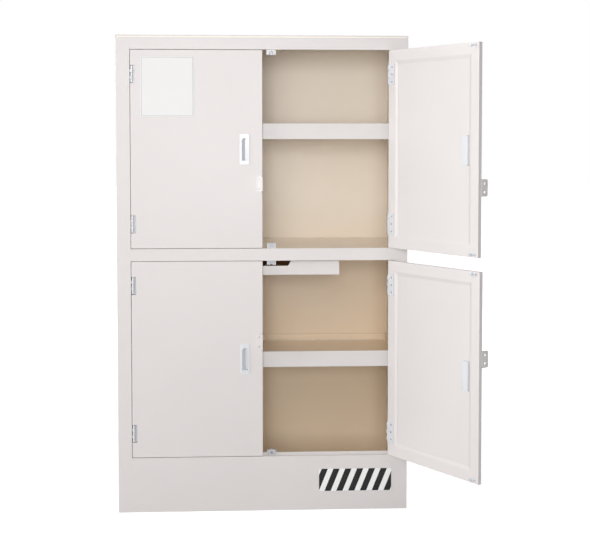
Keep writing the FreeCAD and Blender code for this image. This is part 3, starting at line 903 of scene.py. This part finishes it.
def weld_beads():
    """Lays a rippled bead along each line of a mesh."""
    tree, given = making_tree("weld_beads", ("Bead radius", "Ripple pitch"))
    path = add(tree, "GeometryNodeMeshToCurve", {"Mesh": given["Mesh"]})
    step = result_of(tree, "MULTIPLY", given["Ripple pitch"], ripple_step)
    steps = add(
        tree,
        "GeometryNodeResampleCurve",
        {"Curve": path.outputs["Curve"], "Length": step},
        mode="LENGTH",
    )
    along = add(tree, "GeometryNodeSplineParameter").outputs["Length"]
    turns = result_of(tree, "DIVIDE", along, given["Ripple pitch"])
    angle = result_of(tree, "MULTIPLY", turns, 2.0 * math.pi)
    ripple = result_of(tree, "MULTIPLY", result_of(tree, "SINE", angle), ripple_depth)
    wander = add(tree, "ShaderNodeTexNoise", {"Scale": wander_scale, "Detail": 2.0})
    width = spread(tree, wander.outputs["Fac"], *bead_widths)
    profile = add(
        tree,
        "GeometryNodeCurvePrimitiveCircle",
        {"Resolution": bead_sides, "Radius": given["Bead radius"]},
        mode="RADIUS",
    )
    bead = add(
        tree,
        "GeometryNodeCurveToMesh",
        {
            "Curve": steps.outputs["Curve"],
            "Profile Curve": profile.outputs["Curve"],
            "Scale": result_of(tree, "ADD", ripple, width),
            "Fill Caps": True,
        },
    )
    smooth = add(tree, "GeometryNodeSetShadeSmooth", {"Geometry": bead.outputs["Mesh"]})
    set_finish(tree, given, smooth.outputs["Geometry"])
    return tree


def seam_mesh(name, seams):
    """A mesh of loose lines, one for each seam."""
    mesh = bpy.data.meshes.new(name)
    points = [point for seam in seams for point in seam]
    lines = [(2 * number, 2 * number + 1) for number in range(len(seams))]
    mesh.from_pydata(points, lines, [])
    return mesh


def box_seams(low, high, rim):
    """Seams round the floor of an open box and up its four inner corners."""
    seams = []
    for x in (low.x, high.x):
        seams.append(((x, low.y, low.z), (x, high.y, low.z)))
        for y in (low.y, high.y):
            seams.append(((x, y, low.z), (x, y, rim)))
    for y in (low.y, high.y):
        seams.append(((low.x, y, low.z), (high.x, y, low.z)))
    return seams


def carcase_seams():
    """Seams along every inner corner of the two compartments."""
    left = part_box("left_side_panel")[1].x
    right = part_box("right_side_panel")[0].x
    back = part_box("back_panel")[0].y
    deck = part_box("middle_deck")
    spans = (
        (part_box("bottom_panel")[1].z, deck[0].z),
        (deck[1].z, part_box("top_panel")[0].z),
    )
    seams = []
    for floor, ceiling in spans:
        low = Vector((left, stile_back, floor))
        high = Vector((right, back, ceiling))
        seams += box_seams(low, high, ceiling)
        for x in (left, right):
            seams.append(((x, stile_back, ceiling), (x, back, ceiling)))
        for y in (stile_back, back):
            seams.append(((left, y, ceiling), (right, y, ceiling)))
    return seams


def tray_seams(node):
    """Seams round a tray's floor and up its corners to the rim."""
    low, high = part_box(node)
    inset = Vector((sheet_thickness, sheet_thickness, 0.0))
    floor = Vector((0.0, 0.0, sheet_thickness))
    return box_seams(low + inset + floor, high - inset, low.z + tray_rim_rise)


def drawer_seams():
    """Seams inside the drawer's box."""
    low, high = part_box("drawer_box")
    rim = high.z - drawer_bead_radius
    floor = Vector((drawer_wall - drawer_half_width, low.y, low.z + drawer_wall))
    far = Vector((drawer_half_width - drawer_wall, high.y - drawer_wall, rim))
    return box_seams(floor, far, rim)


bead_tree = weld_beads()
bead_plastic = moulding("bead_plastic", bead_bounce_cream, bead_shine)


def welded(name, seams, radius, finish, body):
    """Makes one body's weld beads as one piece."""
    sizes = {"Bead radius": radius, "Ripple pitch": ripple_pitch}
    return grown(name, bead_tree, seam_mesh(name, seams), sizes, finish, body)


welded("carcase_weld_beads", carcase_seams(), bead_radius, bead_plastic, "cabinet")
for row in rows:
    seams = tray_seams(f"{row}_shelf_tray")
    welded(f"{row}_tray_weld_beads", seams, bead_radius, bead_plastic, f"{row}_shelf")
# The drawer's beads take the same painted brown shade.
drawer_bead_plastic = moulding("drawer_bead_plastic", drawer_shade_brown, drawer_bead_shade_brown)
welded("drawer_weld_beads", drawer_seams(), drawer_bead_radius, drawer_bead_plastic, "drawer")

# Blank sign plate
# A thin white plate with rounded corners and a fine grey line round its edge, stuck to the upper
# left door. It carries nothing.
sign_left = -456.0 * millimetre
sign_right = -257.0 * millimetre
sign_bottom = 1495.0 * millimetre
sign_top = 1721.0 * millimetre
sign_thickness = 0.6 * millimetre
sign_corner = 6.0 * millimetre
sign_white = (0.790, 0.785, 0.780, 1.0)
line_grey = (0.420, 0.420, 0.430, 1.0)
film_shine = 0.2
line_inset = 4.0 * millimetre
line_width = 1.5 * millimetre


def distance_in(tree, place, axis, low, high):
    """How far a point lies inside the nearer of two opposite edges."""
    middle = (low + high) / 2
    apart = add(tree, "ShaderNodeSeparateXYZ", {"Vector": place}).outputs[axis]
    off = result_of(tree, "ABSOLUTE", result_of(tree, "SUBTRACT", apart, middle))
    return result_of(tree, "SUBTRACT", (high - low) / 2, off)


def lined_plate():
    """White film with a fine line just inside its edge."""
    material = pressed_sheet("sign_film", sign_white, sign_white)
    tree, shader, place = opened(material)
    ground = shader.inputs["Base Color"].links[0].from_socket
    across = distance_in(tree, place, "X", sign_left, sign_right)
    upright = distance_in(tree, place, "Z", sign_bottom, sign_top)
    inside = result_of(tree, "MINIMUM", across, upright)
    off_line = result_of(tree, "ABSOLUTE", result_of(tree, "SUBTRACT", inside, line_inset))
    on_line = result_of(tree, "LESS_THAN", off_line, line_width / 2)
    tree.links.new(mixed(tree, on_line, ground, line_grey), shader.inputs["Base Color"])
    shader.inputs["Specular IOR Level"].default_value = film_shine
    return material


def stuck_plate(name, low, high, corner, material, body):
    """A thin plate with rounded corners on the cabinet's front face."""
    shell = bmesh.new()
    outline = rounded_outline(low, high, (corner, corner, corner, corner))
    plate(shell, outline, front_face - sign_thickness, front_face)
    return finished(name, shell, body, material, None)


stuck_plate(
    "blank_sign_plate",
    (sign_left, sign_bottom),
    (sign_right, sign_top),
    sign_corner,
    lined_plate(),
    "upper_left_door",
)

# Striped band
# A strip of printed film on the plinth with even slanting bars, black on white, its corners
# rounded. The print is a little worn and the film is nearly matt.
band_left = 212.0 * millimetre
band_right = 488.0 * millimetre
band_bottom = 72.0 * millimetre
band_top = 157.0 * millimetre
band_corner = 5.0 * millimetre
bar_pitch = 45.2 * millimetre
bar_share = 0.53
bar_slant = 22.0
bar_start_share = 0.5
rubbing_scale = 180.0
rubbing_reach = (0.5, 0.75)
band_white = (0.880, 0.875, 0.865, 1.0)
bar_black = (0.010, 0.010, 0.011, 1.0)
worn_black = (0.030, 0.029, 0.028, 1.0)


def barred_film():
    """White film with slanting bars, counted along the band."""
    material = pressed_sheet("barred_film", band_white, band_white)
    tree, shader, place = opened(material)
    ground = shader.inputs["Base Color"].links[0].from_socket
    apart = add(tree, "ShaderNodeSeparateXYZ", {"Vector": place})
    lean = result_of(tree, "MULTIPLY", apart.outputs["Z"], math.tan(math.radians(bar_slant)))
    along = result_of(tree, "SUBTRACT", apart.outputs["X"], lean)
    counted = result_of(tree, "DIVIDE", along, bar_pitch)
    part = result_of(tree, "FRACT", result_of(tree, "ADD", counted, bar_start_share))
    on_bar = result_of(tree, "LESS_THAN", part, bar_share)
    rubbing = noise(tree, place, rubbing_scale, detail=5.0)
    black = mixed(tree, spread(tree, rubbing, 0.0, 1.0, *rubbing_reach), bar_black, worn_black)
    tree.links.new(mixed(tree, on_bar, ground, black), shader.inputs["Base Color"])
    shader.inputs["Specular IOR Level"].default_value = film_shine
    return material


stuck_plate(
    "striped_band",
    (band_left, band_bottom),
    (band_right, band_top),
    band_corner,
    barred_film(),
    "cabinet",
)

# Studio
# A pale floor that looks white and keeps the cabinet's shadow, a dim white sky, three soft lamps in
# front, a larger one far out on the left that reaches the open doors, one overhead and two behind.
floor_half = 30.0
floor_white = (0.60, 0.60, 0.60, 1.0)
near_glow = 0.62
near_floor = 1.0
far_floor = 3.0
sky_glow = 0.12
full_white = (1.0, 1.0, 1.0, 1.0)
roller_scale = 60.0
floor_roughness = (0.75, 0.85)


def seen_rays(tree):
    """The kinds of ray, and 1 for those from the camera or off something glossy."""
    path = add(tree, "ShaderNodeLightPath").outputs
    return path, result_of(tree, "MAXIMUM", path["Is Camera Ray"], path["Is Glossy Ray"])


def floor_paint():
    """Pale floor paint with a faint roller grain that looks white to the camera."""
    material = new_finish("studio_floor")
    tree, shader, place = opened(material)
    grain = noise(tree, place, roller_scale, detail=3.0)
    shader.inputs["Base Color"].default_value = floor_white
    tree.links.new(spread(tree, grain, *floor_roughness), shader.inputs["Roughness"])
    away = add(tree, "ShaderNodeVectorMath", {0: place}, operation="LENGTH").outputs["Value"]
    level = spread(tree, away, near_glow, 1.0, near_floor, far_floor)
    shader.inputs["Emission Color"].default_value = full_white
    path, seen = seen_rays(tree)
    glow = result_of(tree, "MULTIPLY", seen, level)
    tree.links.new(glow, shader.inputs["Emission Strength"])
    return material


def floor_plane():
    """The studio's floor, which stays out of the export."""
    mesh = bpy.data.meshes.new("studio_floor")
    corners = [(-1, -1), (1, -1), (1, 1), (-1, 1)]
    mesh.from_pydata([(floor_half * x, floor_half * y, 0.0) for x, y in corners], [], [(0, 1, 2, 3)])
    mesh.materials.append(floor_paint())
    floor = bpy.data.objects.new("studio_floor", mesh)
    bpy.context.scene.collection.objects.link(floor)


def soft_lamp(name, place, aim, size, watts):
    """A square lamp at a place, turned towards what it lights."""
    lamp = bpy.data.lights.new(name, "AREA")
    lamp.shape = "SQUARE"
    lamp.size = size
    lamp.energy = watts
    holder = bpy.data.objects.new(name, lamp)
    bpy.context.scene.collection.objects.link(holder)
    holder.location = place
    holder.rotation_euler = (Vector(aim) - Vector(place)).to_track_quat("-Z", "Y").to_euler()


floor_plane()
soft_lamp("key_lamp", place=(-0.22, -3.0, 1.55), aim=(-0.05, -0.3, 1.45), size=0.9, watts=9.0)
soft_lamp("upper_lamp", place=(-0.25, -2.6, 1.90), aim=(0.0, -0.3, 1.5), size=0.9, watts=11.0)
soft_lamp("far_lamp", place=(-0.1, -7.0, 1.7), aim=(0.1, 0.0, 1.2), size=1.4, watts=130.0)
soft_lamp("side_lamp", place=(-4.6, -1.5, 1.6), aim=(0.7, -0.5, 1.2), size=1.8, watts=128.0)
soft_lamp("overhead_lamp", place=(0.0, -0.5, 4.7), aim=(0.0, 0.0, 1.2), size=1.6, watts=45.0)
soft_lamp("rear_left_lamp", place=(-3.6, 2.6, 2.0), aim=(0.0, 0.2, 1.0), size=1.6, watts=90.0)
soft_lamp("rear_right_lamp", place=(3.6, 2.2, 2.0), aim=(0.2, 0.2, 1.0), size=1.6, watts=90.0)


def white_sky():
    """A sky that is white to look at and lights the cabinet only dimly."""
    sky = bpy.data.worlds.new("studio_sky")
    sky.use_nodes = True
    tree = sky.node_tree
    tree.nodes.clear()
    path, seen = seen_rays(tree)
    shown = result_of(tree, "MAXIMUM", seen, path["Is Transmission Ray"])
    level = add(tree, "ShaderNodeMapRange", {"Value": shown, "To Min": sky_glow, "To Max": 1.0})
    light = add(
        tree,
        "ShaderNodeBackground",
        {"Color": full_white, "Strength": level.outputs["Result"]},
    )
    add(tree, "ShaderNodeOutputWorld", {"Surface": light.outputs["Background"]})
    return sky


bpy.context.scene.world = white_sky()

# Camera
# A long lens a little above the middle of the cabinet, turned slightly to its right.
camera_place = (-0.0587, -4.7429, 1.4130)
camera_yaw = 2.86
camera_pitch = -2.69
camera_lens = 72.14
camera_sensor = 36.0
camera_shift = (-0.0191, -0.1314)

lens = bpy.data.cameras.new("camera")
lens.lens = camera_lens
lens.sensor_width = camera_sensor
lens.sensor_fit = "HORIZONTAL"
lens.shift_x, lens.shift_y = camera_shift
camera = bpy.data.objects.new("camera", lens)
bpy.context.scene.collection.objects.link(camera)
camera.location = camera_place
camera.rotation_euler = (math.radians(90.0 + camera_pitch), 0.0, math.radians(-camera_yaw))
bpy.context.scene.camera = camera
bpy.context.scene.view_settings.view_transform = "Standard"
